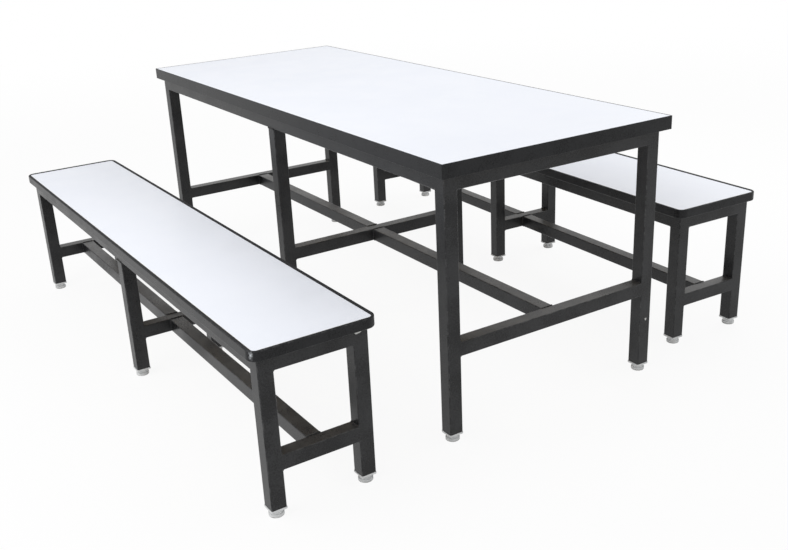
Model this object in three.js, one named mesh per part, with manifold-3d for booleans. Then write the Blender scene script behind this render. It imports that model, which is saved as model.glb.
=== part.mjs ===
// Canteen table with two loose benches. Each of the three is a welded frame of square steel tube on six legs,
// with a laminate-faced board on top, edging round the board and a levelling foot under each leg.
// Millimetres. +X runs along the table, +Z is up, and the near bench stands on the -Y side.

import * as THREE from 'three';
import { mergeVertices } from 'three/addons/utils/BufferGeometryUtils.js';
import Module from 'manifold-3d';

const wasm = await Module();
wasm.setup();

// Table
const TABLE_LENGTH = 1920;
const TABLE_WIDTH = 755;
const TABLE_HEIGHT = 760;
const TABLE_TOP_THICKNESS = 37;
const TABLE_END_OVERHANG = 24;
const TABLE_SIDE_OVERHANG = 20;
const TABLE_RAIL_HEIGHT = 282;
const TABLE_BAND_WIDTH = 2;
const TABLE_CORNER_RADIUS = 1.5;
const TABLE_BAND_ROUND = 0.8;

// Benches
const BENCH_LENGTH = 1920;
const BENCH_WIDTH = 326;
const BENCH_HEIGHT = 443;
const SEAT_THICKNESS = 25;
const BENCH_END_OVERHANG = 20;
const BENCH_SIDE_OVERHANG = 20;
const BENCH_RAIL_HEIGHT = 162;
const BENCH_TRIM_WIDTH = 10;
const BENCH_CORNER_RADIUS = 22;
const BENCH_TRIM_ROUND = 3;

// Where the benches stand beside the table, and how far each is turned from it
const NEAR_BENCH_DISTANCE = 753;
const NEAR_BENCH_SHIFT = 25;
const NEAR_BENCH_SKEW_DEG = 0.5;
const FAR_BENCH_DISTANCE = 710;
const FAR_BENCH_SHIFT = -65;
const FAR_BENCH_SKEW_DEG = -1.9;

// Square steel tube
const TUBE = 40;
const TUBE_WALL = 1.5;
const TUBE_CORNER_RADIUS = 3;

// Board facing, and the gap left between pieces that meet
const LAMINATE_THICKNESS = 1;
const FIT_GAP = 0.3;

// Plug in the leg end
const PLUG_FLANGE_THICKNESS = 5;
const PLUG_FLANGE_LIP = 1.2;
const PLUG_BOSS_RADIUS = 9;
const PLUG_BOSS_LENGTH = 25;
const PLUG_SEAT_DEPTH = 0.5;

// Levelling foot
const FOOT_HEIGHT = 19;
const FOOT_PAD_RADIUS = 19;
const FOOT_PAD_HEIGHT = 9;
const FOOT_HUB_RADIUS = 15.5;
const FOOT_EDGE_ROUND = 2.5;
const FOOT_STEM_RADIUS = 5;
const FOOT_STEM_LENGTH = 30;
const FOOT_STEM_CHAMFER = 1;

// Smoothness of round stretches
const TUBE_CORNER_STEPS = 2;
const BOARD_CORNER_STEPS = 6;
const TRIM_ROUND_STEPS = 3;
const FOOT_SIDES = 18;
const BORE_SIDES = 14;

const LEG_BOTTOM = FOOT_HEIGHT + FIT_GAP + PLUG_FLANGE_THICKNESS;

const PAINT = { color: 0x2c2d2e, roughness: 0.45, metalness: 0.2 };
const BLACK_EDGING = { color: 0x27282a, roughness: 0.5, metalness: 0 };
const WHITE_LAMINATE = { color: 0xf0f3fa, roughness: 0.35, metalness: 0 };
const PARTICLE_BOARD = { color: 0xb08d62, roughness: 0.85, metalness: 0 };
const FOOT_PLASTIC = { color: 0xd4d5d4, roughness: 0.5, metalness: 0 };

// Solids: a geometry becomes a solid to be joined or cut, and a solid becomes a geometry again
function toSolid(geometry) {
  const bare = geometry.clone();
  bare.deleteAttribute('normal');
  bare.deleteAttribute('uv');
  const merged = mergeVertices(bare, 1e-4);
  return new wasm.Manifold(new wasm.Mesh({
    numProp: 3,
    vertProperties: new Float32Array(merged.attributes.position.array),
    triVerts: new Uint32Array(merged.index.array),
  }));
}

function toGeometry(solid) {
  const mesh = solid.getMesh();
  const geometry = new THREE.BufferGeometry();
  geometry.setAttribute('position', new THREE.BufferAttribute(mesh.vertProperties, 3));
  geometry.setIndex(new THREE.BufferAttribute(mesh.triVerts, 1));
  const flat = geometry.toNonIndexed();
  flat.computeVertexNormals();
  return flat;
}

// Outline of a rectangle with round corners, centred on the origin
function roundedRectangle(sizeX, sizeY, radius, Outline = THREE.Shape) {
  const x = sizeX / 2 - radius;
  const y = sizeY / 2 - radius;
  const outline = new Outline();
  outline.moveTo(x + radius, -y);
  outline.lineTo(x + radius, y);
  outline.absarc(x, y, radius, 0, Math.PI / 2);
  outline.lineTo(-x, y + radius);
  outline.absarc(-x, y, radius, Math.PI / 2, Math.PI);
  outline.lineTo(-x - radius, -y);
  outline.absarc(-x, -y, radius, Math.PI, Math.PI * 1.5);
  outline.lineTo(x, -y - radius);
  outline.absarc(x, -y, radius, Math.PI * 1.5, Math.PI * 2);
  return outline;
}

function prism(outline, height, steps) {
  return new THREE.ExtrudeGeometry(outline, { depth: height, bevelEnabled: false, curveSegments: steps });
}

// A prism along Z, centred, is laid along the axis named
function layAlong(geometry, axis) {
  if (axis === 'x') geometry.rotateY(Math.PI / 2);
  if (axis === 'y') geometry.rotateX(Math.PI / 2);
  return geometry;
}

// Square tube: the whole bar, its bore and the two together, all centred on the origin
function tubeBar(length, axis) {
  const bar = prism(roundedRectangle(TUBE, TUBE, TUBE_CORNER_RADIUS), length, TUBE_CORNER_STEPS);
  return layAlong(bar.translate(0, 0, -length / 2), axis);
}

function tubeBore(length, axis) {
  const inside = TUBE - 2 * TUBE_WALL;
  const bore = prism(roundedRectangle(inside, inside, TUBE_CORNER_RADIUS - TUBE_WALL), length, TUBE_CORNER_STEPS);
  return layAlong(bore.translate(0, 0, -length / 2), axis);
}

function tube(length, axis) {
  const inside = TUBE - 2 * TUBE_WALL;
  const section = roundedRectangle(TUBE, TUBE, TUBE_CORNER_RADIUS);
  section.holes.push(roundedRectangle(inside, inside, TUBE_CORNER_RADIUS - TUBE_WALL, THREE.Path));
  return layAlong(prism(section, length, TUBE_CORNER_STEPS).translate(0, 0, -length / 2), axis);
}

// Leg: a tube seated in the flange of the plug that closes its lower end, with the stem's bore in the plug's boss
function legGeometry(topHeight) {
  const tubeBottom = LEG_BOTTOM - PLUG_SEAT_DEPTH;
  const tubeLength = topHeight - tubeBottom;
  const flangeBottom = LEG_BOTTOM - PLUG_FLANGE_THICKNESS;
  const flangeSize = TUBE + 2 * PLUG_FLANGE_LIP;
  const bossHeight = PLUG_FLANGE_THICKNESS + PLUG_BOSS_LENGTH;
  const bossMiddle = flangeBottom + bossHeight / 2;
  const boreRadius = FOOT_STEM_RADIUS + FIT_GAP;
  const bar = tube(tubeLength, 'z').translate(0, 0, tubeBottom + tubeLength / 2);
  const flange = prism(roundedRectangle(flangeSize, flangeSize, TUBE_CORNER_RADIUS), PLUG_FLANGE_THICKNESS,
    TUBE_CORNER_STEPS).translate(0, 0, flangeBottom);
  const boss = new THREE.CylinderGeometry(PLUG_BOSS_RADIUS, PLUG_BOSS_RADIUS, bossHeight, BORE_SIDES)
    .rotateX(Math.PI / 2).translate(0, 0, bossMiddle);
  const bore = new THREE.CylinderGeometry(boreRadius, boreRadius, 2 * bossHeight, BORE_SIDES)
    .rotateX(Math.PI / 2).translate(0, 0, bossMiddle);
  return toGeometry(toSolid(bar).add(toSolid(flange)).add(toSolid(boss)).subtract(toSolid(bore)));
}

// Levelling foot: a pad with a round edge, a narrower hub on it and the stem that screws into the plug
function footGeometry() {
  const stemTop = FOOT_HEIGHT + FOOT_STEM_LENGTH;
  const padEdge = FOOT_PAD_RADIUS - FOOT_EDGE_ROUND;
  const profile = [
    [0, 0],
    [padEdge, 0],
    [FOOT_PAD_RADIUS, FOOT_EDGE_ROUND],
    [FOOT_PAD_RADIUS, FOOT_PAD_HEIGHT - FOOT_EDGE_ROUND],
    [FOOT_HUB_RADIUS, FOOT_PAD_HEIGHT],
    [FOOT_HUB_RADIUS, FOOT_HEIGHT],
    [FOOT_STEM_RADIUS, FOOT_HEIGHT],
    [FOOT_STEM_RADIUS, stemTop - FOOT_STEM_CHAMFER],
    [FOOT_STEM_RADIUS - FOOT_STEM_CHAMFER, stemTop],
    [0, stemTop],
  ].map(([radius, height]) => new THREE.Vector2(radius, height));
  return toGeometry(toSolid(new THREE.LatheGeometry(profile, FOOT_SIDES).rotateX(Math.PI / 2)));
}

// Stretcher: cross rails at the given places and a spine from the first to the last, welded into one hollow piece
function stretcherGeometry(railPlaces, railLength) {
  const spineLength = railPlaces.at(-1) - railPlaces[0];
  const spineMiddle = (railPlaces.at(-1) + railPlaces[0]) / 2;
  let outside = toSolid(tubeBar(spineLength, 'x').translate(spineMiddle, 0, 0));
  let inside = toSolid(tubeBore(spineLength, 'x').translate(spineMiddle, 0, 0));
  for (const place of railPlaces) {
    outside = outside.add(toSolid(tubeBar(railLength, 'y').translate(place, 0, 0)));
    inside = inside.add(toSolid(tubeBore(railLength + TUBE, 'y').translate(place, 0, 0)));
  }
  return toGeometry(outside.subtract(inside));
}

// Edging: a ring round the board with its outer edges rounded
function edgingGeometry(unit) {
  const { length, width, thickness, edgingWidth, edgingRound, cornerRadius } = unit;
  const inset = 2 * edgingRound;
  const outer = new THREE.ExtrudeGeometry(
    roundedRectangle(length - inset, width - inset, Math.max(cornerRadius - edgingRound, FIT_GAP)),
    {
      depth: thickness - inset,
      bevelThickness: edgingRound,
      bevelSize: edgingRound,
      bevelSegments: TRIM_ROUND_STEPS,
      curveSegments: BOARD_CORNER_STEPS,
    },
  ).translate(0, 0, edgingRound);
  const hollow = prism(boardOutline(unit, edgingWidth), 3 * thickness, BOARD_CORNER_STEPS)
    .translate(0, 0, -thickness);
  return toGeometry(toSolid(outer).subtract(toSolid(hollow)));
}

// Outline of the board, drawn in from the unit's outer edge
function boardOutline(unit, inset) {
  const radius = Math.max(unit.cornerRadius - inset, FIT_GAP);
  return roundedRectangle(unit.length - 2 * inset, unit.width - 2 * inset, radius);
}

function addPiece(group, name, geometry, finish, x, y, z) {
  const piece = new THREE.Mesh(geometry, new THREE.MeshStandardMaterial(finish));
  piece.name = name;
  piece.position.set(x, y, z);
  group.add(piece);
}

// One unit, a table or a bench, on the floor with its middle over the origin
function buildUnit(unit) {
  const group = new THREE.Group();
  const boardBottom = unit.height - unit.thickness;
  const frameTop = boardBottom - FIT_GAP;
  const apronMiddle = frameTop - TUBE / 2;
  const apronBottom = frameTop - TUBE;
  const endLegX = unit.length / 2 - unit.endOverhang - TUBE / 2;
  const legY = unit.width / 2 - unit.sideOverhang - TUBE / 2;
  const boardInset = unit.edgingWidth + FIT_GAP;
  const boardThickness = unit.thickness - LAMINATE_THICKNESS - FIT_GAP;
  const longApronLength = 2 * endLegX - TUBE - 2 * FIT_GAP;
  const crossLength = 2 * legY - TUBE - 2 * FIT_GAP;
  const sides = { front: -legY, rear: legY };
  const ends = { left: -endLegX, right: endLegX };
  const legPlaces = { left: -endLegX, middle: 0, right: endLegX };

  const board = prism(boardOutline(unit, boardInset), boardThickness, BOARD_CORNER_STEPS);
  addPiece(group, `${unit.name}_${unit.boardName}_board`, board, PARTICLE_BOARD, 0, 0, boardBottom);
  const laminate = prism(boardOutline(unit, boardInset), LAMINATE_THICKNESS, BOARD_CORNER_STEPS);
  const laminateBottom = unit.height - LAMINATE_THICKNESS;
  addPiece(group, `${unit.name}_${unit.boardName}_laminate`, laminate, WHITE_LAMINATE, 0, 0, laminateBottom);
  addPiece(group, `${unit.name}_edging`, edgingGeometry(unit), BLACK_EDGING, 0, 0, boardBottom);

  for (const [side, y] of Object.entries(sides)) {
    addPiece(group, `${unit.name}_apron_${side}`, tube(longApronLength, 'x'), PAINT, 0, y, apronMiddle);
    for (const [place, x] of Object.entries(legPlaces)) {
      const legTop = place === 'middle' ? apronBottom - FIT_GAP : frameTop;
      addPiece(group, `${unit.name}_leg_${side}_${place}`, legGeometry(legTop), PAINT, x, y, 0);
      addPiece(group, `${unit.name}_foot_${side}_${place}`, footGeometry(), FOOT_PLASTIC, x, y, 0);
    }
  }
  for (const [end, x] of Object.entries(ends)) {
    addPiece(group, `${unit.name}_apron_${end}`, tube(crossLength, 'y'), PAINT, x, 0, apronMiddle);
  }
  const stretcher = stretcherGeometry(Object.values(legPlaces), crossLength);
  addPiece(group, `${unit.name}_stretcher`, stretcher, PAINT, 0, 0, unit.railHeight - TUBE / 2);
  return group;
}

const benchSizes = {
  boardName: 'seat',
  length: BENCH_LENGTH,
  width: BENCH_WIDTH,
  height: BENCH_HEIGHT,
  thickness: SEAT_THICKNESS,
  endOverhang: BENCH_END_OVERHANG,
  sideOverhang: BENCH_SIDE_OVERHANG,
  railHeight: BENCH_RAIL_HEIGHT,
  edgingWidth: BENCH_TRIM_WIDTH,
  edgingRound: BENCH_TRIM_ROUND,
  cornerRadius: BENCH_CORNER_RADIUS,
};

const table = buildUnit({
  name: 'table',
  boardName: 'top',
  length: TABLE_LENGTH,
  width: TABLE_WIDTH,
  height: TABLE_HEIGHT,
  thickness: TABLE_TOP_THICKNESS,
  endOverhang: TABLE_END_OVERHANG,
  sideOverhang: TABLE_SIDE_OVERHANG,
  railHeight: TABLE_RAIL_HEIGHT,
  edgingWidth: TABLE_BAND_WIDTH,
  edgingRound: TABLE_BAND_ROUND,
  cornerRadius: TABLE_CORNER_RADIUS,
});

const nearBench = buildUnit({ name: 'near_bench', ...benchSizes });
nearBench.position.set(NEAR_BENCH_SHIFT, -NEAR_BENCH_DISTANCE, 0);
nearBench.rotation.z = THREE.MathUtils.degToRad(NEAR_BENCH_SKEW_DEG);

const farBench = buildUnit({ name: 'far_bench', ...benchSizes });
farBench.position.set(FAR_BENCH_SHIFT, FAR_BENCH_DISTANCE, 0);
farBench.rotation.z = THREE.MathUtils.degToRad(FAR_BENCH_SKEW_DEG);

// The origin is on the floor, under the middle of the box round the whole set
const furniture = new THREE.Group();
furniture.add(table, nearBench, farBench);
const middle = new THREE.Box3().setFromObject(furniture, true).getCenter(new THREE.Vector3());
furniture.position.set(-middle.x, -middle.y, 0);

export default furniture;
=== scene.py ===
import math

import bmesh
import bpy
from mathutils import Matrix, Vector


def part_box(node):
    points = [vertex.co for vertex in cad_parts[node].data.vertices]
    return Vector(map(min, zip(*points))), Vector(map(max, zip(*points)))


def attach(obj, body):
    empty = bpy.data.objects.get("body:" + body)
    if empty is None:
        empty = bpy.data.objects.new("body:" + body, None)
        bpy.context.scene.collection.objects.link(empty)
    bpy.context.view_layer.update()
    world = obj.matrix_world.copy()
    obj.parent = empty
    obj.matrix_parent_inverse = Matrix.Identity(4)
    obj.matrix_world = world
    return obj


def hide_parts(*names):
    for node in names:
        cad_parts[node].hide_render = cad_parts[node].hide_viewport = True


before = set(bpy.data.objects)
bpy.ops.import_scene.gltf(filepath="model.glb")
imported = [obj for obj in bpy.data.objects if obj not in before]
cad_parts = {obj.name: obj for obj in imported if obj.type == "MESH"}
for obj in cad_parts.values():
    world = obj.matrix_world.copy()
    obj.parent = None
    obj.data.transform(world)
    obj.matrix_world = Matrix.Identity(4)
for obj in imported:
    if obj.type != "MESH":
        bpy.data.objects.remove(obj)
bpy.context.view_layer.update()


# The row of furniture
# A cafeteria table stands between two loose benches, and each of the three is a welded frame on six legs.
# Its corner feet give its centre and its skew, so everything is made square and then turned into place.
UNITS = ("table", "near_bench", "far_bench")
SIDES = ("front", "rear")
STATIONS = ("left", "middle", "right")
BOARD_WORD = {"table": "top", "near_bench": "seat", "far_bench": "seat"}


def foot_centre(unit, side, station):
    low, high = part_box(f"{unit}_foot_{side}_{station}")
    return Vector(((low.x + high.x) / 2, (low.y + high.y) / 2, 0))


def placement(unit):
    corners = [foot_centre(unit, side, station) for side in SIDES for station in ("left", "right")]
    centre = sum(corners, Vector()) / len(corners)
    along = corners[1] - corners[0]
    return Matrix.Translation(centre) @ Matrix.Rotation(math.atan2(along.y, along.x), 4, "Z")


place = {unit: placement(unit) for unit in UNITS}


def square_box(unit, node):
    back = place[unit].inverted()
    points = [back @ vertex.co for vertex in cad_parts[node].data.vertices]
    low = Vector([min(point[axis] for point in points) for axis in range(3)])
    high = Vector([max(point[axis] for point in points) for axis in range(3)])
    return low, high


# Painted steel frames
# Legs, aprons and rails are square steel tube with a rounded corner, cut to length and welded together.
# The welds are ground flush on the outer faces, and the whole frame is powder coated in satin black.
TUBE_WALL = 0.0015
TUBE_CORNER = 0.0030
TUBE_CORNER_STEPS = 5
PLUG_FLANGE = 0.0050
PAINT_BLACK = (0.008, 0.0082, 0.0088, 1)
PAINT_FADED = (0.027, 0.0275, 0.029, 1)
PAINT_RUBBED = (0.13, 0.13, 0.132, 1)
# Grey-brown for dust on the tops, and also a painted sheen where the tops catch the light from above.
DUST_AND_SHEEN_COLOUR = (0.21, 0.205, 0.195, 1)


def rounded_rectangle(half_x, half_y, radius, steps):
    corners = ((1, 1, 0), (-1, 1, 90), (-1, -1, 180), (1, -1, 270))
    points = []
    for sign_x, sign_y, start in corners:
        for step in range(steps + 1):
            turn = math.radians(start + 90 * step / steps)
            x = sign_x * (half_x - radius) + radius * math.cos(turn)
            y = sign_y * (half_y - radius) + radius * math.sin(turn)
            points.append((x, y))
    return points


def add_loops(bm, loops, ring=False, caps=False):
    rows = [[bm.verts.new(point) for point in loop] for loop in loops]
    count = len(rows[0])
    pairs = list(zip(rows, rows[1:]))
    if ring:
        pairs.append((rows[-1], rows[0]))
    faces = []
    for lower, upper in pairs:
        for i in range(count):
            j = (i + 1) % count
            faces.append(bm.faces.new((lower[i], lower[j], upper[j], upper[i])))
    if caps:
        faces.append(bm.faces.new(rows[0]))
        faces.append(bm.faces.new(rows[-1]))
    return rows, faces


def add_tube(bm, start, end, width):
    axis = (end - start).normalized()
    side = Vector((axis.y, axis.z, axis.x)).cross(axis).normalized()
    over = axis.cross(side)
    half = width / 2

    def section(at, inset):
        outline = rounded_rectangle(half - inset, half - inset, TUBE_CORNER - inset, TUBE_CORNER_STEPS)
        return [at + side * u + over * v for u, v in outline]

    edge = bm.verts.layers.float.get("edge") or bm.verts.layers.float.new("edge")
    loops = [section(start, 0), section(end, 0), section(end, TUBE_WALL), section(start, TUBE_WALL)]
    rows, _ = add_loops(bm, loops, ring=True)
    for row in rows[:2]:
        for i, vertex in enumerate(row):
            step = i % (TUBE_CORNER_STEPS + 1)
            vertex[edge] = math.sin(math.pi * step / TUBE_CORNER_STEPS)


def finish_piece(name, bm, unit, materials, smooth_angle=32):
    bmesh.ops.recalc_face_normals(bm, faces=bm.faces)
    bm.transform(place[unit])
    mesh = bpy.data.meshes.new(name)
    bm.to_mesh(mesh)
    bm.free()
    for material in materials:
        mesh.materials.append(material)
    mesh.shade_smooth()
    mesh.set_sharp_from_angle(angle=math.radians(smooth_angle))
    piece = bpy.data.objects.new(name, mesh)
    bpy.context.scene.collection.objects.link(piece)
    weighted = piece.modifiers.new("flat faces stay flat", "WEIGHTED_NORMAL")
    weighted.keep_sharp = True
    weighted.weight = 100
    return apply_modifiers(piece)


def apply_modifiers(piece):
    evaluated = piece.evaluated_get(bpy.context.evaluated_depsgraph_get())
    plain = bpy.data.meshes.new_from_object(evaluated)
    piece.modifiers.clear()
    piece.data = plain
    plain.name = piece.name
    return piece


def node(tree, kind, **values):
    made = tree.nodes.new(kind)
    for label, value in values.items():
        if hasattr(made, label):
            setattr(made, label, value)
        else:
            made.inputs[label.replace("_", " ")].default_value = value
    return made


def shader_group(name, inputs, outputs):
    group = bpy.data.node_groups.new(name, "ShaderNodeTree")
    for label, kind, value in inputs:
        socket = group.interface.new_socket(label, in_out="INPUT", socket_type=kind)
        if value is not None:
            socket.default_value = value
    for label in outputs:
        group.interface.new_socket(label, in_out="OUTPUT", socket_type="NodeSocketFloat")
    return group, group.nodes.new("NodeGroupInput").outputs, group.nodes.new("NodeGroupOutput").inputs


def noise(tree, vector, scale, detail=3.0, roughness=0.55):
    made = node(tree, "ShaderNodeTexNoise", Detail=detail, Roughness=roughness)
    tree.links.new(vector, made.inputs["Vector"])
    if isinstance(scale, (int, float)):
        made.inputs["Scale"].default_value = scale
    else:
        tree.links.new(scale, made.inputs["Scale"])
    return made.outputs["Fac"]


def math_node(tree, operation, first, second=None, clamp=False):
    made = node(tree, "ShaderNodeMath", operation=operation, use_clamp=clamp)
    for socket, value in zip(made.inputs, (first, second)):
        if isinstance(value, (int, float)):
            socket.default_value = value
        elif value is not None:
            tree.links.new(value, socket)
    return made.outputs[0]


def spread(tree, value, low, high, to_low=0.0, to_high=1.0):
    made = node(tree, "ShaderNodeMapRange", clamp=True, interpolation_type="SMOOTHSTEP")
    tree.links.new(value, made.inputs["Value"])
    for label, amount in (("From Min", low), ("From Max", high), ("To Min", to_low), ("To Max", to_high)):
        made.inputs[label].default_value = amount
    return made.outputs["Result"]


def mix_colour(tree, mask, first, second):
    made = node(tree, "ShaderNodeMix", data_type="RGBA")
    tree.links.new(mask, made.inputs["Factor"])
    for label, value in (("A", first), ("B", second)):
        socket = [s for s in made.inputs if s.name == label and s.type == "RGBA"][0]
        if isinstance(value, tuple):
            socket.default_value = value
        else:
            tree.links.new(value, socket)
    return [s for s in made.outputs if s.type == "RGBA"][0]


def place_group(tree, group, vector, **values):
    made = node(tree, "ShaderNodeGroup", node_tree=group)
    tree.links.new(vector, made.inputs["Vector"])
    for label, value in values.items():
        socket = made.inputs[label.replace("_", " ")]
        if isinstance(value, (int, float)):
            socket.default_value = value
        else:
            tree.links.new(value, socket)
    return made.outputs


def new_material(name, roughness, specular=0.5, metallic=0.0):
    material = bpy.data.materials.new(name)
    material.use_nodes = True
    tree = material.node_tree
    shader = tree.nodes["Principled BSDF"]
    shader.inputs["Roughness"].default_value = roughness
    shader.inputs["Specular IOR Level"].default_value = specular
    shader.inputs["Metallic"].default_value = metallic
    vector = node(tree, "ShaderNodeTexCoord").outputs["Object"]
    return material, tree, shader, vector


def facing_up(tree):
    parts = node(tree, "ShaderNodeSeparateXYZ")
    tree.links.new(node(tree, "ShaderNodeNewGeometry").outputs["Normal"], parts.inputs[0])
    return parts.outputs["Z"]


def add_bump(tree, shader, height, strength, distance):
    bump = node(tree, "ShaderNodeBump", Strength=strength, Distance=distance)
    tree.links.new(height, bump.inputs["Height"])
    tree.links.new(bump.outputs["Normal"], shader.inputs["Normal"])


FLOAT, VECTOR = "NodeSocketFloat", "NodeSocketVector"
grain_group, enter, leave = shader_group(
    "surface_grain",
    [("Vector", VECTOR, None), ("Grain Scale", FLOAT, 700.0), ("Mottle Scale", FLOAT, 9.0)],
    ["Grain", "Mottle"],
)
fine = noise(grain_group, enter["Vector"], enter["Grain Scale"], detail=2.0)
coarse = noise(grain_group, enter["Vector"], enter["Mottle Scale"], detail=5.0)
grain_group.links.new(fine, leave["Grain"])
grain_group.links.new(coarse, leave["Mottle"])

wear_group, enter, leave = shader_group(
    "edge_wear",
    [("Vector", VECTOR, None), ("Edge", FLOAT, 0.0), ("Chip Scale", FLOAT, 60.0), ("Amount", FLOAT, 0.5)],
    ["Mask"],
)
chips = noise(wear_group, enter["Vector"], enter["Chip Scale"], detail=6.0, roughness=0.65)
worn = math_node(wear_group, "MULTIPLY", enter["Edge"], spread(wear_group, chips, 0.42, 0.68))
wear_group.links.new(math_node(wear_group, "MULTIPLY", worn, enter["Amount"], clamp=True), leave["Mask"])

# Dust settled on upward faces, and also a painted sheen: the tops of the black frame are painted lighter
# grey-brown, standing in for the brighter light they catch.
dust_and_sheen_group, enter, leave = shader_group(
    "dust_and_painted_sheen",
    [("Vector", VECTOR, None), ("Up", FLOAT, 0.0), ("Patch Scale", FLOAT, 25.0), ("Amount", FLOAT, 0.3)],
    ["Mask"],
)
patches = noise(dust_and_sheen_group, enter["Vector"], enter["Patch Scale"], detail=5.0, roughness=0.6)
dust_and_sheen_on_tops = math_node(dust_and_sheen_group, "MULTIPLY", spread(dust_and_sheen_group, enter["Up"], 0.55, 1.0), patches)
dust_and_sheen_group.links.new(math_node(dust_and_sheen_group, "MULTIPLY", dust_and_sheen_on_tops, enter["Amount"], clamp=True), leave["Mask"])

paint, tree, shader, vector = new_material("satin black powder coat", roughness=0.34, specular=0.27)
coat = place_group(tree, grain_group, vector, Grain_Scale=360.0, Mottle_Scale=9.0)
corner = node(tree, "ShaderNodeAttribute", attribute_name="edge").outputs["Fac"]
rubbed = place_group(tree, wear_group, vector, Edge=corner, Chip_Scale=55.0, Amount=0.45)["Mask"]
# The upward faces of the black frame are painted lighter grey-brown: settled dust, and a painted sheen for
# the light they catch.
dust_and_sheen = place_group(tree, dust_and_sheen_group, vector, Up=facing_up(tree), Patch_Scale=22.0, Amount=0.48)["Mask"]
uneven = math_node(tree, "ADD", coat["Mottle"], coat["Grain"])
colour = mix_colour(tree, spread(tree, uneven, 0.80, 1.20), PAINT_BLACK, PAINT_FADED)
colour = mix_colour(tree, rubbed, colour, PAINT_RUBBED)
colour = mix_colour(tree, dust_and_sheen, colour, DUST_AND_SHEEN_COLOUR)
tree.links.new(colour, shader.inputs["Base Color"])
tree.links.new(spread(tree, uneven, 0.7, 1.3, 0.26, 0.42), shader.inputs["Roughness"])
add_bump(tree, shader, coat["Grain"], strength=0.22, distance=0.0006)


def tube_width(unit):
    low, high = square_box(unit, f"{unit}_apron_front")
    return high.y - low.y


def leg_centre(unit, side, station):
    low, high = square_box(unit, f"{unit}_leg_{side}_{station}")
    return Vector(((low.x + high.x) / 2, (low.y + high.y) / 2, 0))


def leg_heights(unit, side, station):
    low, high = square_box(unit, f"{unit}_leg_{side}_{station}")
    return low.z + PLUG_FLANGE, high.z


def paint_piece(name, unit, tubes, *nodes):
    bm = bmesh.new()
    for start, end in tubes:
        add_tube(bm, start, end, tube_width(unit))
    piece = finish_piece(name, bm, unit, [paint])
    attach(piece, unit)
    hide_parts(*nodes)


def add_legs(unit):
    for side in SIDES:
        for station in STATIONS:
            centre = leg_centre(unit, side, station)
            bottom, top = leg_heights(unit, side, station)
            if station == "middle":
                top += TUBE_CORNER
            tube = (centre + Vector((0, 0, bottom)), centre + Vector((0, 0, top)))
            node_name = f"{unit}_leg_{side}_{station}"
            paint_piece(f"{node_name}_tube", unit, [tube], node_name)


def add_aprons(unit):
    reach = tube_width(unit) / 2 - TUBE_CORNER
    low, high = square_box(unit, f"{unit}_apron_front")
    height = Vector((0, 0, (low.z + high.z) / 2))
    across = Vector((0, reach, 0))
    along = Vector((reach, 0, 0))
    for side in SIDES:
        start = leg_centre(unit, side, "left") + along + height
        end = leg_centre(unit, side, "right") - along + height
        paint_piece(f"{unit}_apron_{side}_tube", unit, [(start, end)], f"{unit}_apron_{side}")
    for station in ("left", "right"):
        start = leg_centre(unit, "front", station) + across + height
        end = leg_centre(unit, "rear", station) - across + height
        paint_piece(f"{unit}_apron_{station}_tube", unit, [(start, end)], f"{unit}_apron_{station}")


def rail_height(unit):
    low, high = square_box(unit, f"{unit}_stretcher")
    return (low.z + high.z) / 2


def add_stretcher(unit):
    reach = tube_width(unit) / 2 - TUBE_CORNER
    height = Vector((0, 0, rail_height(unit)))
    across = Vector((0, reach, 0))
    along = Vector((reach, 0, 0))
    tubes = []
    crossings = []
    for station in STATIONS:
        front = leg_centre(unit, "front", station) + across + height
        rear = leg_centre(unit, "rear", station) - across + height
        tubes.append((front, rear))
        crossings.append((front + rear) / 2)
    for start, end in zip(crossings, crossings[1:]):
        tubes.append((start + along, end - along))
    paint_piece(f"{unit}_stretcher_rails", unit, tubes, f"{unit}_stretcher")


for unit in UNITS:
    add_legs(unit)
    add_aprons(unit)
    add_stretcher(unit)


# Weld beads
# Each tube is closed on to its neighbour by a short bead of weld in the inside corner, left as it was laid.
# The beads are under the same paint as the tubes.
BEAD_RADIUS = 0.0027
BEAD_PITCH = 0.0021
BEAD_END_GAP = 0.0035
BEAD_SMALLEST = 0.82
BEAD_LARGEST = 1.12


def geometry_tree(name, inputs):
    tree = bpy.data.node_groups.new(name, "GeometryNodeTree")
    tree.interface.new_socket("Geometry", in_out="INPUT", socket_type="NodeSocketGeometry")
    for label, kind in inputs:
        tree.interface.new_socket(label, in_out="INPUT", socket_type=kind)
    tree.interface.new_socket("Geometry", in_out="OUTPUT", socket_type="NodeSocketGeometry")
    return tree, tree.nodes.new("NodeGroupInput").outputs, tree.nodes.new("NodeGroupOutput").inputs


def grow_piece(name, bm, unit, tree, values):
    bm.transform(place[unit])
    mesh = bpy.data.meshes.new(name)
    bm.to_mesh(mesh)
    bm.free()
    piece = bpy.data.objects.new(name, mesh)
    bpy.context.scene.collection.objects.link(piece)
    modifier = piece.modifiers.new(tree.name, "NODES")
    modifier.node_group = tree
    for item in tree.interface.items_tree:
        if item.in_out == "INPUT" and item.name in values:
            modifier[item.identifier] = values[item.name]
    return apply_modifiers(piece)


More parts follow.
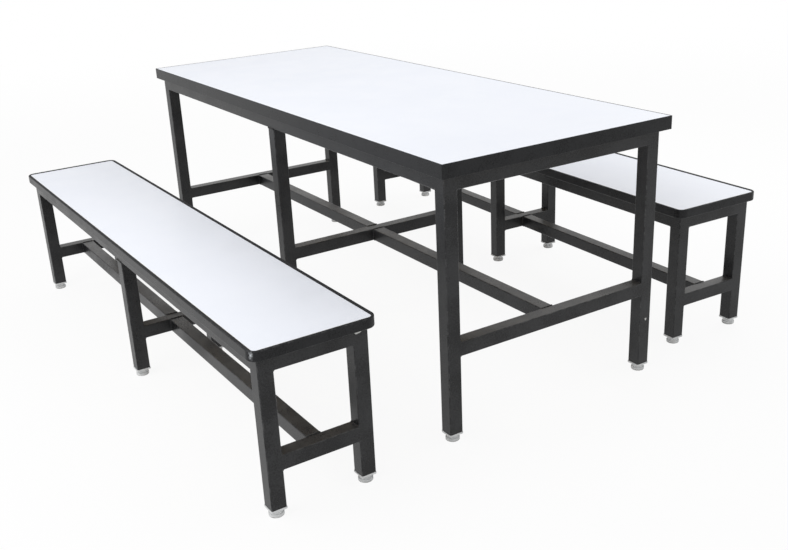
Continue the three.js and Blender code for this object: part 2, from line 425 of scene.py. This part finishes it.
bead_tree, enter, leave = geometry_tree(
    "weld_beads",
    [("Bead radius", FLOAT), ("Bead pitch", FLOAT), ("Material", "NodeSocketMaterial")],
)
links = bead_tree.links
runs = node(bead_tree, "GeometryNodeMeshToCurve")
ripples = node(bead_tree, "GeometryNodeResampleCurve", mode="LENGTH")
ripple = node(bead_tree, "GeometryNodeMeshUVSphere", Segments=8, Rings=5)
uneven = node(bead_tree, "FunctionNodeRandomValue", data_type="FLOAT", Seed=4)
uneven.inputs[2].default_value = BEAD_SMALLEST
uneven.inputs[3].default_value = BEAD_LARGEST
laid = node(bead_tree, "GeometryNodeInstanceOnPoints")
solid = node(bead_tree, "GeometryNodeRealizeInstances")
rounded = node(bead_tree, "GeometryNodeSetShadeSmooth")
painted = node(bead_tree, "GeometryNodeSetMaterial")
links.new(enter["Geometry"], runs.inputs["Mesh"])
links.new(runs.outputs["Curve"], ripples.inputs["Curve"])
links.new(enter["Bead pitch"], ripples.inputs["Length"])
links.new(enter["Bead radius"], ripple.inputs["Radius"])
links.new(ripples.outputs["Curve"], laid.inputs["Points"])
links.new(ripple.outputs["Mesh"], laid.inputs["Instance"])
links.new(uneven.outputs[1], laid.inputs["Scale"])
links.new(laid.outputs["Instances"], solid.inputs["Geometry"])
links.new(solid.outputs["Geometry"], rounded.inputs["Geometry"])
links.new(rounded.outputs["Geometry"], painted.inputs["Geometry"])
links.new(enter["Material"], painted.inputs["Material"])
links.new(painted.outputs["Geometry"], leave["Geometry"])


def add_weld_beads(unit):
    half = tube_width(unit) / 2
    reach = half - BEAD_END_GAP
    bm = bmesh.new()

    def bead(middle, run):
        bm.edges.new((bm.verts.new(middle - run * reach), bm.verts.new(middle + run * reach)))

    along, across, upward = Vector((1, 0, 0)), Vector((0, 1, 0)), Vector((0, 0, 1))
    rail = upward * rail_height(unit)
    apron_low, _ = square_box(unit, f"{unit}_apron_front")
    apron = upward * (apron_low.z + half)
    for side, inward in (("front", 1), ("rear", -1)):
        for station in STATIONS:
            face = leg_centre(unit, side, station) + across * inward * half
            bead(face + rail + upward * half, along)
            bead(face + rail - upward * half, along)
        for station, inner in (("left", 1), ("right", -1)):
            corner = leg_centre(unit, side, station) + apron
            bead(corner + along * inner * half - upward * half, across)
            bead(corner + across * inward * half - upward * half, along)
            bead(corner + along * inner * half + across * inward * half, upward)
        head = leg_centre(unit, side, "middle") + upward * apron_low.z
        for turn in (1, -1):
            bead(head + along * turn * half, across)
            bead(head + across * turn * half, along)
    for station, turns in (("left", (1,)), ("middle", (1, -1)), ("right", (-1,))):
        crossing = (leg_centre(unit, "front", station) + leg_centre(unit, "rear", station)) / 2 + rail
        for turn in turns:
            face = crossing + along * turn * half
            for edge in (1, -1):
                bead(face + upward * edge * half, across)
                bead(face + across * edge * half, upward)
    values = {"Bead radius": BEAD_RADIUS, "Bead pitch": BEAD_PITCH, "Material": paint}
    piece = grow_piece(f"{unit}_weld_beads", bm, unit, bead_tree, values)
    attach(piece, unit)


for unit in UNITS:
    add_weld_beads(unit)


# Leg plugs
# A moulded nylon plug is pushed into the open bottom of each leg, with a thin square flange left outside.
# A threaded bush in its middle carries the screw of the foot.
PLUG_LIP = 0.0012
PLUG_ROUND = 0.0007
PLUG_BREAK = 0.3 * PLUG_ROUND
PLUG_CORNER = 0.0038
PLUG_CORNER_STEPS = 6
PLUG_DEPTH = 0.020
PLUG_BORE = 0.0054
PLASTIC_PALE = (0.70, 0.71, 0.71, 1)
PLASTIC_DEEP = (0.60, 0.61, 0.615, 1)
PLASTIC_GRIME = (0.16, 0.15, 0.135, 1)
GRIME_HEIGHT = 0.006

nylon, tree, shader, vector = new_material("pale grey nylon", roughness=0.45, specular=0.45)
moulded = place_group(tree, grain_group, vector, Grain_Scale=1400.0, Mottle_Scale=45.0)
above_floor = node(tree, "ShaderNodeSeparateXYZ")
tree.links.new(vector, above_floor.inputs[0])
near_floor = spread(tree, above_floor.outputs["Z"], 0.0, GRIME_HEIGHT, 0.75, 0.0)
grimy = math_node(tree, "MULTIPLY", near_floor, spread(tree, moulded["Mottle"], 0.35, 0.6))
colour = mix_colour(tree, spread(tree, moulded["Mottle"], 0.3, 0.7), PLASTIC_PALE, PLASTIC_DEEP)
colour = mix_colour(tree, grimy, colour, PLASTIC_GRIME)
tree.links.new(colour, shader.inputs["Base Color"])
tree.links.new(spread(tree, moulded["Grain"], 0.2, 0.8, 0.40, 0.55), shader.inputs["Roughness"])
add_bump(tree, shader, moulded["Grain"], strength=0.12, distance=0.0003)


def ring_of(radius, count):
    turn_back = math.pi / count
    turns = [2 * math.pi * i / count + turn_back for i in range(count)]
    return [(radius * math.cos(turn), radius * math.sin(turn)) for turn in turns]


def add_plugs(unit):
    half = tube_width(unit) / 2 + PLUG_LIP
    inside = tube_width(unit) / 2 - TUBE_WALL
    count = 4 * (PLUG_CORNER_STEPS + 1)
    bm = bmesh.new()
    for side in SIDES:
        for station in STATIONS:
            centre = leg_centre(unit, side, station)
            top, _ = leg_heights(unit, side, station)
            bottom = top - PLUG_FLANGE

            def flange(inset, height):
                reach = half - inset
                outline = rounded_rectangle(reach, reach, PLUG_CORNER - inset, PLUG_CORNER_STEPS)
                return [centre + Vector((x, y, height)) for x, y in outline]

            def shank(height):
                outline = rounded_rectangle(inside, inside, TUBE_CORNER - TUBE_WALL, PLUG_CORNER_STEPS)
                return [centre + Vector((x, y, height)) for x, y in outline]

            def bore(height):
                return [centre + Vector((x, y, height)) for x, y in ring_of(PLUG_BORE, count)]

            loops = [
                flange(PLUG_ROUND, bottom),
                flange(PLUG_BREAK, bottom + PLUG_BREAK),
                flange(0, bottom + PLUG_ROUND),
                flange(0, top - PLUG_ROUND / 2),
                flange(PLUG_ROUND / 2, top),
                shank(top),
                shank(top + PLUG_DEPTH),
                bore(top + PLUG_DEPTH),
                bore(bottom),
            ]
            add_loops(bm, loops, ring=True)
    piece = finish_piece(f"{unit}_leg_plugs", bm, unit, [nylon])
    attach(piece, unit)


for unit in UNITS:
    add_plugs(unit)


# Levelling feet
# Each foot is a turned-looking moulding in two tiers with a soft lower lip, on a plated steel screw.
# It turns in and out of the leg plug to take up an uneven floor.
FOOT_SIDES = 48
FOOT_HEIGHT = 0.0190
FOOT_TIER = 0.0090
HUB_RADIUS = 0.0155
PAD_HOLLOW = 0.0070
PAD_HOLLOW_DEPTH = 0.0006
PAD_TREAD = 0.0060
PAD_LIP = 0.0026
PAD_LIP_STEPS = 6
PAD_ROUND = 0.0012
HUB_FILLET = 0.0008
HUB_ROUND = 0.0010
ROUND_STEPS = 4
STEM_RADIUS = 0.0050
STEM_SOCKET = 0.0018
STEM_SOCKET_FLOOR = 0.0010
STEM_SOCKET_DEPTH = 0.0008
STEM_ROOT = 0.0040
THREAD_PITCH = 0.0015
THREAD_DEPTH = 0.0009
THREAD_FOOT, THREAD_CREST, THREAD_BACK = 0.25, 0.60, 0.75
THREAD_TIP = 1.6
PLATE_COLOUR = (0.58, 0.58, 0.56, 1)
PLATE_DULL = (0.38, 0.38, 0.37, 1)

plated, tree, shader, vector = new_material("bright plated steel", roughness=0.32, metallic=1.0)
turned = place_group(tree, grain_group, vector, Grain_Scale=900.0, Mottle_Scale=80.0)
colour = mix_colour(tree, spread(tree, turned["Mottle"], 0.35, 0.7), PLATE_COLOUR, PLATE_DULL)
tree.links.new(colour, shader.inputs["Base Color"])
tree.links.new(spread(tree, turned["Grain"], 0.2, 0.8, 0.26, 0.42), shader.inputs["Roughness"])


def lathe(bm, centre, profile):
    circle = ring_of(1, FOOT_SIDES)
    loops = [[centre + Vector((x * r, y * r, z)) for x, y in circle] for r, z in profile]
    _, faces = add_loops(bm, loops, caps=True)
    return faces


def rounded_shoulder(radius, height, round_off, start, steps):
    shoulder = []
    for step in range(steps + 1):
        turn = math.radians(start + 90 * step / steps)
        outward = round_off * math.cos(turn)
        upward = round_off * math.sin(turn)
        shoulder.append((radius - round_off + outward, height + upward))
    return shoulder


def foot_profile(low, high, pad_radius):
    tier = low + FOOT_TIER
    profile = [(pad_radius - PAD_HOLLOW, low + PAD_HOLLOW_DEPTH), (pad_radius - PAD_TREAD, low)]
    profile += rounded_shoulder(pad_radius, low + PAD_LIP, PAD_LIP, -90, PAD_LIP_STEPS)
    profile += rounded_shoulder(pad_radius, tier - PAD_ROUND, PAD_ROUND, 0, ROUND_STEPS)
    profile.append((HUB_RADIUS + HUB_FILLET, tier))
    profile.append((HUB_RADIUS, tier + HUB_FILLET))
    profile += rounded_shoulder(HUB_RADIUS, high - HUB_ROUND, HUB_ROUND, 0, ROUND_STEPS)
    profile.append((STEM_RADIUS + STEM_SOCKET, high))
    profile.append((STEM_RADIUS + STEM_SOCKET_FLOOR, high - STEM_SOCKET_DEPTH))
    return profile


def thread_profile(low, high):
    profile = [(STEM_RADIUS - THREAD_DEPTH, low)]
    turns = int((high - low) / THREAD_PITCH) - 1
    for i in range(turns):
        base = low + i * THREAD_PITCH
        profile.append((STEM_RADIUS - THREAD_DEPTH, base + THREAD_PITCH * THREAD_FOOT))
        profile.append((STEM_RADIUS, base + THREAD_PITCH * THREAD_CREST))
        profile.append((STEM_RADIUS, base + THREAD_PITCH * THREAD_BACK))
    profile.append((STEM_RADIUS - THREAD_DEPTH, high - THREAD_PITCH))
    profile.append((STEM_RADIUS - THREAD_TIP * THREAD_DEPTH, high))
    return profile


def add_foot(unit, side, station):
    node_name = f"{unit}_foot_{side}_{station}"
    low, high = square_box(unit, node_name)
    centre = leg_centre(unit, side, station)
    pad_radius = (high.y - low.y) / 2
    bm = bmesh.new()
    lathe(bm, centre, foot_profile(low.z, low.z + FOOT_HEIGHT, pad_radius))
    stem = lathe(bm, centre, thread_profile(low.z + FOOT_HEIGHT - STEM_ROOT, high.z))
    for face in stem:
        face.material_index = 1
    piece = finish_piece(f"{node_name}_glide", bm, unit, [nylon, plated], smooth_angle=40)
    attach(piece, node_name)
    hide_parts(node_name)


for unit in UNITS:
    for side in SIDES:
        for station in STATIONS:
            add_foot(unit, side, station)


# Paint chips
# Knocks have taken the paint off a bench leg under the seat and off one table leg, down to the steel.
# Each is a thin ragged flake of bright metal that lies on the outer face of its leg.
CHIP_SIDES = 18
CHIP_PROUD = 0.00015
CHIP_PROUD_SHARE = 0.85
CHIP_SUNK = 0.0004


def ragged_reach(turn):
    return 0.78 + 0.14 * math.sin(3 * turn + 0.7) + 0.08 * math.sin(7 * turn)


def add_chip(unit, side, station, beside, height, half_width, half_height, tilt):
    leg = leg_centre(unit, side, station)
    centre = Vector((leg.x + tube_width(unit) / 2, leg.y + beside, height))
    tilted = Matrix.Rotation(math.radians(tilt), 2)
    outline = []
    for i in range(CHIP_SIDES):
        turn = 2 * math.pi * i / CHIP_SIDES
        corner = Vector((half_width * math.cos(turn), half_height * math.sin(turn)))
        outline.append(tilted @ corner * ragged_reach(turn))

    def layer(depth, share):
        return [centre + Vector((depth, spot.x * share, spot.y * share)) for spot in outline]

    bm = bmesh.new()
    add_loops(bm, [layer(-CHIP_SUNK, 1), layer(0, 1), layer(CHIP_PROUD, CHIP_PROUD_SHARE)], caps=True)
    piece = finish_piece(f"{unit}_leg_{side}_{station}_paint_chip", bm, unit, [plated])
    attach(piece, unit)


add_chip("near_bench", "rear", "right", -0.009, 0.4105, half_width=0.0120, half_height=0.0068, tilt=-18)
add_chip("table", "rear", "right", 0.0025, 0.1660, half_width=0.0042, half_height=0.0048, tilt=15)


# Boards
# The core of the top and of each seat is a slab of pressed particle board, bare on its underside.
# It lies on the frame and is screwed to it from below.
FLAKE_PALE = (0.52, 0.39, 0.24, 1)
FLAKE_MID = (0.40, 0.28, 0.16, 1)
FLAKE_DARK = (0.20, 0.125, 0.065, 1)

chipboard, tree, shader, vector = new_material("pressed particle board", roughness=0.75, specular=0.3)
flakes = node(tree, "ShaderNodeTexVoronoi", feature="F1", Scale=260.0)
tree.links.new(vector, flakes.inputs["Vector"])
shade = node(tree, "ShaderNodeSeparateColor")
tree.links.new(flakes.outputs["Color"], shade.inputs[0])
pressed = place_group(tree, grain_group, vector, Grain_Scale=900.0, Mottle_Scale=12.0)
colour = mix_colour(tree, shade.outputs[0], FLAKE_PALE, FLAKE_MID)
colour = mix_colour(tree, spread(tree, shade.outputs[1], 0.80, 0.95), colour, FLAKE_DARK)
colour = mix_colour(tree, spread(tree, pressed["Mottle"], 0.4, 0.8, 0.0, 0.5), colour, FLAKE_MID)
tree.links.new(colour, shader.inputs["Base Color"])
tree.links.new(spread(tree, pressed["Grain"], 0.2, 0.8, 0.65, 0.85), shader.inputs["Roughness"])
add_bump(tree, shader, flakes.outputs["Distance"], strength=0.25, distance=0.0004)

for unit in UNITS:
    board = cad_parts[f"{unit}_{BOARD_WORD[unit]}_board"]
    board.material_slots[0].material = chipboard


# Laminate faces
# A sheet of white decorative laminate is glued over the board and trimmed with a fine bevel.
# The bevel bares the cream paper core as a hairline, and on the table the sheet lies a little low.
LAMINATE_BEVEL = 0.0006
LAMINATE_SINK = {"table": 0.0005, "near_bench": 0.0, "far_bench": 0.0}
LAMINATE_WHITE = (0.840, 0.865, 0.930, 1)
LAMINATE_SHADE = (0.822, 0.849, 0.916, 1)
CORE_PALE = (0.72, 0.66, 0.54, 1)
CORE_DEEP = (0.62, 0.55, 0.43, 1)
BOARD_CORNER_STEPS = 12
LAMINATE_CORNER = {"table": 0.0004, "near_bench": 0.0117, "far_bench": 0.0117}

laminate, tree, shader, vector = new_material("white laminate", roughness=0.36, specular=0.45)
sheet = place_group(tree, grain_group, vector, Grain_Scale=1600.0, Mottle_Scale=2.2)
scuffs = place_group(tree, grain_group, vector, Grain_Scale=36.0, Mottle_Scale=11.0)
colour = mix_colour(tree, spread(tree, sheet["Mottle"], 0.35, 0.65), LAMINATE_WHITE, LAMINATE_SHADE)
tree.links.new(colour, shader.inputs["Base Color"])
tree.links.new(spread(tree, scuffs["Mottle"], 0.3, 0.7, 0.30, 0.44), shader.inputs["Roughness"])
add_bump(tree, shader, sheet["Grain"], strength=0.06, distance=0.0003)

paper_core, tree, shader, vector = new_material("cream laminate core", roughness=0.6, specular=0.4)
layers = place_group(tree, grain_group, vector, Grain_Scale=500.0, Mottle_Scale=30.0)
colour = mix_colour(tree, layers["Mottle"], CORE_PALE, CORE_DEEP)
tree.links.new(colour, shader.inputs["Base Color"])


def board_loop(low, high, inset, height, corner):
    half_x = (high.x - low.x) / 2 - inset
    half_y = (high.y - low.y) / 2 - inset
    outline = rounded_rectangle(half_x, half_y, corner, BOARD_CORNER_STEPS)
    return [Vector((x, y, height)) for x, y in outline]


def add_laminate(unit):
    node_name = f"{unit}_{BOARD_WORD[unit]}_laminate"
    low, high = square_box(unit, node_name)
    corner = LAMINATE_CORNER[unit]
    face_height = high.z - LAMINATE_SINK[unit]
    bm = bmesh.new()
    loops = [
        board_loop(low, high, 0, low.z, corner),
        board_loop(low, high, 0, face_height - LAMINATE_BEVEL, corner),
        board_loop(low, high, LAMINATE_BEVEL, face_height, corner / 2),
    ]
    _, faces = add_loops(bm, loops, caps=True)
    for face in faces[:-1]:
        face.material_index = 1
    piece = finish_piece(f"{node_name}_sheet", bm, unit, [laminate, paper_core])
    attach(piece, unit)
    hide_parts(node_name)


for unit in UNITS:
    add_laminate(unit)


# Edge trims
# The table has a flat black plastic band glued round its square edge, with both arrises just broken.
# The seats have a fuller black moulding, bent round the corners, with a low lip above the laminate.
# A painted highlight, a pale bluish streak drawn upright and broken into flecks, lies on the moulding at
# the front corner of the near seat.
TRIM_ROUND = {"table": 0.0008, "near_bench": 0.0030, "far_bench": 0.0030}
TRIM_ROUND_STEPS = 6
TRIM_CORNER = {"table": 0.0015, "near_bench": 0.0290, "far_bench": 0.0290}
TRIM_LIP = {"table": 0.0, "near_bench": 0.0019, "far_bench": 0.0019}
TRIM_LIP_STEPS = 4
TRIM_BLACK = (0.010, 0.0103, 0.0112, 1)
TRIM_GREY = (0.019, 0.0195, 0.021, 1)
TRIM_SCUFF = (0.12, 0.12, 0.125, 1)
# The painted highlight on the near seat's front corner: its place, reach, upright stretch and pale colour.
CORNER_HIGHLIGHT_UNIT = "near_bench"
CORNER_HIGHLIGHT_PLACE = (0.9475, -0.1570, 0.4350)
CORNER_HIGHLIGHT_REACH = 0.0075
CORNER_HIGHLIGHT_STRETCH = (1.0, 1.0, 0.45)
CORNER_HIGHLIGHT_COLOUR = (0.52, 0.54, 0.56, 1)

trim, tree, shader, vector = new_material("black edge plastic", roughness=0.30, specular=0.17)
drawn = place_group(tree, grain_group, vector, Grain_Scale=300.0, Mottle_Scale=14.0)
shoulder = node(tree, "ShaderNodeAttribute", attribute_name="edge").outputs["Fac"]
scuffed = place_group(tree, wear_group, vector, Edge=shoulder, Chip_Scale=90.0, Amount=0.35)["Mask"]
uneven = math_node(tree, "ADD", drawn["Mottle"], drawn["Grain"])
colour = mix_colour(tree, spread(tree, uneven, 0.80, 1.20), TRIM_BLACK, TRIM_GREY)
colour = mix_colour(tree, scuffed, colour, TRIM_SCUFF)
# A painted highlight: a pale bluish streak, stretched upright, is mixed into the moulding's colour at the
# near seat's front corner.
stretched = node(tree, "ShaderNodeVectorMath", operation="MULTIPLY")
tree.links.new(vector, stretched.inputs[0])
stretched.inputs[1].default_value = CORNER_HIGHLIGHT_STRETCH
from_corner_highlight = node(tree, "ShaderNodeVectorMath", operation="DISTANCE")
tree.links.new(stretched.outputs["Vector"], from_corner_highlight.inputs[0])
from_corner_highlight.inputs[1].default_value = place[CORNER_HIGHLIGHT_UNIT] @ Vector(CORNER_HIGHLIGHT_PLACE) * Vector(CORNER_HIGHLIGHT_STRETCH)
highlight_streak = spread(tree, from_corner_highlight.outputs["Value"], CORNER_HIGHLIGHT_REACH / 3, CORNER_HIGHLIGHT_REACH, 1.0, 0.0)
painted_corner_highlight = place_group(tree, wear_group, vector, Edge=highlight_streak, Chip_Scale=170.0, Amount=1.0)["Mask"]
colour = mix_colour(tree, painted_corner_highlight, colour, CORNER_HIGHLIGHT_COLOUR)
tree.links.new(colour, shader.inputs["Base Color"])
dulled_by_use = spread(tree, facing_up(tree), 0.3, 0.9, 0.0, 0.34)
satin = spread(tree, uneven, 0.7, 1.3, 0.26, 0.38)
tree.links.new(math_node(tree, "ADD", satin, dulled_by_use), shader.inputs["Roughness"])
add_bump(tree, shader, drawn["Grain"], strength=0.12, distance=0.0004)


def add_trim(unit):
    node_name = f"{unit}_edging"
    low, high = square_box(unit, node_name)
    _, inner_high = square_box(unit, f"{unit}_{BOARD_WORD[unit]}_laminate")
    width = high.x - inner_high.x
    radius = TRIM_ROUND[unit]
    crest = high.z + TRIM_LIP[unit]
    section = [(width, low.z)]
    worn = [0]
    for start, height in ((-90, low.z + radius), (0, crest - radius)):
        for step in range(TRIM_ROUND_STEPS + 1):
            turn = math.radians(start + 90 * step / TRIM_ROUND_STEPS)
            section.append((radius - radius * math.cos(turn), height + radius * math.sin(turn)))
            worn.append(math.sin(math.pi * step / TRIM_ROUND_STEPS))
    for step in range(1, TRIM_LIP_STEPS + 1):
        share = step / TRIM_LIP_STEPS
        section.append((radius + (width - radius) * share, crest - TRIM_LIP[unit] * share ** 2))
        worn.append(0)
    bm = bmesh.new()
    edge = bm.verts.layers.float.new("edge")
    loops = []
    for inset, height in section:
        corner = TRIM_CORNER[unit] + (LAMINATE_CORNER[unit] - TRIM_CORNER[unit]) * inset / width
        loops.append(board_loop(low, high, inset, height, corner))
    rows, _ = add_loops(bm, loops, ring=True)
    for row, amount in zip(rows, worn):
        for vertex in row:
            vertex[edge] = amount
    piece = finish_piece(f"{node_name}_trim", bm, unit, [trim])
    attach(piece, unit)
    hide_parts(node_name)


for unit in UNITS:
    add_trim(unit)


# Fixing screws
# Pan-head screws with a washer go up through the aprons into the board, a row along each side.
# They are plated steel with a cross recess, each stopped at its own angle.
SCREW_RADIUS = 0.0048
SCREW_HEIGHT = 0.0026
WASHER_RADIUS = 0.0070
WASHER_THICKNESS = 0.0010
RECESS_LENGTH = 0.0052
RECESS_WIDTH = 0.0011
SCREWS_ALONG = 5
SCREW_END_SHARE = 0.7
SCREWS_ACROSS = (0.3, 0.7)

screw_tree, enter, leave = geometry_tree(
    "pan_head_screws",
    [
        ("Head radius", FLOAT),
        ("Head height", FLOAT),
        ("Washer radius", FLOAT),
        ("Washer thickness", FLOAT),
        ("Recess length", FLOAT),
        ("Recess width", FLOAT),
        ("Material", "NodeSocketMaterial"),
    ],
)
links = screw_tree.links


def sized(tree, x, y, z):
    made = node(tree, "ShaderNodeCombineXYZ")
    for socket, value in zip(made.inputs, (x, y, z)):
        if isinstance(value, (int, float)):
            socket.default_value = value
        else:
            tree.links.new(value, socket)
    return made.outputs[0]


def moved(tree, geometry, translation=None, scale=None):
    made = node(tree, "GeometryNodeTransform")
    tree.links.new(geometry, made.inputs["Geometry"])
    if translation is not None:
        tree.links.new(translation, made.inputs["Translation"])
    if scale is not None:
        tree.links.new(scale, made.inputs["Scale"])
    return made.outputs["Geometry"]


dome = node(screw_tree, "GeometryNodeMeshUVSphere", Segments=20, Rings=10)
head_size = sized(screw_tree, enter["Head radius"], enter["Head radius"], enter["Head height"])
head = moved(screw_tree, dome.outputs["Mesh"], scale=head_size)
recess = node(screw_tree, "GeometryNodeJoinGeometry")
recess_drop = math_node(screw_tree, "MULTIPLY", enter["Head height"], -1.0)
for size in (
    sized(screw_tree, enter["Recess length"], enter["Recess width"], enter["Head height"]),
    sized(screw_tree, enter["Recess width"], enter["Recess length"], enter["Head height"]),
):
    slot_block = node(screw_tree, "GeometryNodeMeshCube")
    links.new(size, slot_block.inputs["Size"])
    slot_shape = moved(screw_tree, slot_block.outputs["Mesh"], sized(screw_tree, 0, 0, recess_drop))
    links.new(slot_shape, recess.inputs[0])
cut = node(screw_tree, "GeometryNodeMeshBoolean", operation="DIFFERENCE", solver="EXACT")
links.new(head, cut.inputs["Mesh 1"])
links.new(recess.outputs["Geometry"], cut.inputs["Mesh 2"])
washer = node(screw_tree, "GeometryNodeMeshCylinder", Vertices=24)
links.new(enter["Washer radius"], washer.inputs["Radius"])
links.new(enter["Washer thickness"], washer.inputs["Depth"])
screw = node(screw_tree, "GeometryNodeJoinGeometry")
links.new(cut.outputs["Mesh"], screw.inputs[0])
links.new(washer.outputs["Mesh"], screw.inputs[0])
angle = node(screw_tree, "FunctionNodeRandomValue", data_type="FLOAT", Seed=11)
angle.inputs[3].default_value = math.pi
driven = node(screw_tree, "GeometryNodeInstanceOnPoints")
solid = node(screw_tree, "GeometryNodeRealizeInstances")
finished = node(screw_tree, "GeometryNodeSetMaterial")
links.new(enter["Geometry"], driven.inputs["Points"])
links.new(screw.outputs["Geometry"], driven.inputs["Instance"])
links.new(sized(screw_tree, 0, 0, angle.outputs[1]), driven.inputs["Rotation"])
links.new(driven.outputs["Instances"], solid.inputs["Geometry"])
links.new(solid.outputs["Geometry"], finished.inputs["Geometry"])
links.new(enter["Material"], finished.inputs["Material"])
links.new(finished.outputs["Geometry"], leave["Geometry"])


def add_screws(unit):
    low, _ = square_box(unit, f"{unit}_apron_front")
    bm = bmesh.new()
    for side in SIDES:
        left = leg_centre(unit, side, "left")
        right = leg_centre(unit, side, "right")
        for i in range(SCREWS_ALONG):
            spot = left.lerp(right, (i + SCREW_END_SHARE) / (SCREWS_ALONG - 1 + 2 * SCREW_END_SHARE))
            bm.verts.new((spot.x, spot.y, low.z))
    for station in ("left", "right"):
        front = leg_centre(unit, "front", station)
        rear = leg_centre(unit, "rear", station)
        for share in SCREWS_ACROSS:
            spot = front.lerp(rear, share)
            bm.verts.new((spot.x, spot.y, low.z))
    values = {
        "Head radius": SCREW_RADIUS,
        "Head height": SCREW_HEIGHT,
        "Washer radius": WASHER_RADIUS,
        "Washer thickness": WASHER_THICKNESS,
        "Recess length": RECESS_LENGTH,
        "Recess width": RECESS_WIDTH,
        "Material": plated,
    }
    piece = grow_piece(f"{unit}_fixing_screws", bm, unit, screw_tree, values)
    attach(piece, unit)


for unit in UNITS:
    add_screws(unit)


# Floor and light
# A plain pale studio floor keeps the soft shadow of the furniture and fades into a white surround.
# Two large lamps hang beside the row, one over each bench, so that the tops are lit alike.
FLOOR_HALF = 40.0
FLOOR_COLOUR = (0.90, 0.90, 0.90, 1)
FLOOR_WHITE_SHARE = 0.91
SHADOW_REACH = 2.0
WHITE_FROM = 7.0
SURROUND_LIGHT = 0.74
LAMP_SIZE = 2.0
LAMP_AIM_SHARE = 0.25
LAMP_AIM_HEIGHT = 0.44
LAMPS = {"near_lamp": ((0.4, -2.3, 2.2), 29.5), "far_lamp": ((0.0, 2.3, 2.2), 19.5)}


def sees_background(tree):
    rays = node(tree, "ShaderNodeLightPath").outputs
    seen = math_node(tree, "MAXIMUM", rays["Is Camera Ray"], rays["Is Glossy Ray"])
    return math_node(tree, "MAXIMUM", seen, rays["Is Transmission Ray"])


floor_paint = bpy.data.materials.new("pale studio floor")
floor_paint.use_nodes = True
tree = floor_paint.node_tree
shader = tree.nodes["Principled BSDF"]
shader.inputs["Base Color"].default_value = FLOOR_COLOUR
shader.inputs["Roughness"].default_value = 1.0
shader.inputs["Specular IOR Level"].default_value = 0.0
white = node(tree, "ShaderNodeEmission", Strength=1.0)
floor_mix = node(tree, "ShaderNodeMixShader")
away = node(tree, "ShaderNodeVectorMath", operation="LENGTH")
tree.links.new(node(tree, "ShaderNodeTexCoord").outputs["Object"], away.inputs[0])
white_share = spread(tree, away.outputs["Value"], SHADOW_REACH, WHITE_FROM, FLOOR_WHITE_SHARE, 1.0)
tree.links.new(math_node(tree, "MULTIPLY", sees_background(tree), white_share), floor_mix.inputs["Fac"])
tree.links.new(shader.outputs["BSDF"], floor_mix.inputs[1])
tree.links.new(white.outputs["Emission"], floor_mix.inputs[2])
tree.links.new(floor_mix.outputs["Shader"], tree.nodes["Material Output"].inputs["Surface"])

floor_mesh = bpy.data.meshes.new("studio_floor")
floor_corners = [(x * FLOOR_HALF, y * FLOOR_HALF, 0) for x, y in ((-1, -1), (1, -1), (1, 1), (-1, 1))]
floor_mesh.from_pydata(floor_corners, [], [(0, 1, 2, 3)])
floor_mesh.materials.append(floor_paint)
floor = bpy.data.objects.new("studio_floor", floor_mesh)
bpy.context.scene.collection.objects.link(floor)

world = bpy.data.worlds.new("white surround")
bpy.context.scene.world = world
world.use_nodes = True
tree = world.node_tree
surround = tree.nodes["Background"]
surround.inputs["Color"].default_value = (1, 1, 1, 1)
seen_strength = node(tree, "ShaderNodeMapRange")
seen_strength.inputs["To Min"].default_value = SURROUND_LIGHT
seen_strength.inputs["To Max"].default_value = 1.0
tree.links.new(sees_background(tree), seen_strength.inputs["Value"])
tree.links.new(seen_strength.outputs["Result"], surround.inputs["Strength"])

for name, (stand, power) in LAMPS.items():
    lamp_data = bpy.data.lights.new(name, "AREA")
    lamp_data.shape = "SQUARE"
    lamp_data.size = LAMP_SIZE
    lamp_data.energy = power
    lamp = bpy.data.objects.new(name, lamp_data)
    lamp.location = stand
    aim = Vector((stand[0], stand[1] * LAMP_AIM_SHARE, LAMP_AIM_HEIGHT))
    lamp.rotation_euler = (aim - lamp.location).to_track_quat("-Z", "Y").to_euler()
    bpy.context.scene.collection.objects.link(lamp)


# Camera
# It stands where the photograph was taken from, above the near right end of the row.
# The picture is 788 pixels wide, and the focal length was found in those pixels.
CAMERA_PLACE = (2.8008, -1.6242, 1.3498)
CAMERA_YAW = math.radians(58.537)
CAMERA_PITCH = math.radians(-21.196)
CAMERA_ROLL = math.radians(-2.801)
FOCAL_PIXELS = 984.93
PICTURE_WIDTH = 788
SENSOR_WIDTH = 36.0
CAMERA_REACH = 200

camera_data = bpy.data.cameras.new("camera")
camera_data.sensor_width = SENSOR_WIDTH
camera_data.lens = FOCAL_PIXELS * SENSOR_WIDTH / PICTURE_WIDTH
camera_data.clip_end = CAMERA_REACH
camera = bpy.data.objects.new("camera", camera_data)
turn = Matrix.Rotation(CAMERA_YAW, 3, "Z") @ Matrix.Rotation(math.pi / 2 + CAMERA_PITCH, 3, "X")
turn = turn @ Matrix.Rotation(CAMERA_ROLL, 3, "Z")
camera.matrix_world = Matrix.Translation(CAMERA_PLACE) @ turn.to_4x4()
bpy.context.scene.collection.objects.link(camera)
bpy.context.scene.camera = camera
bpy.context.scene.view_settings.view_transform = "Standard"
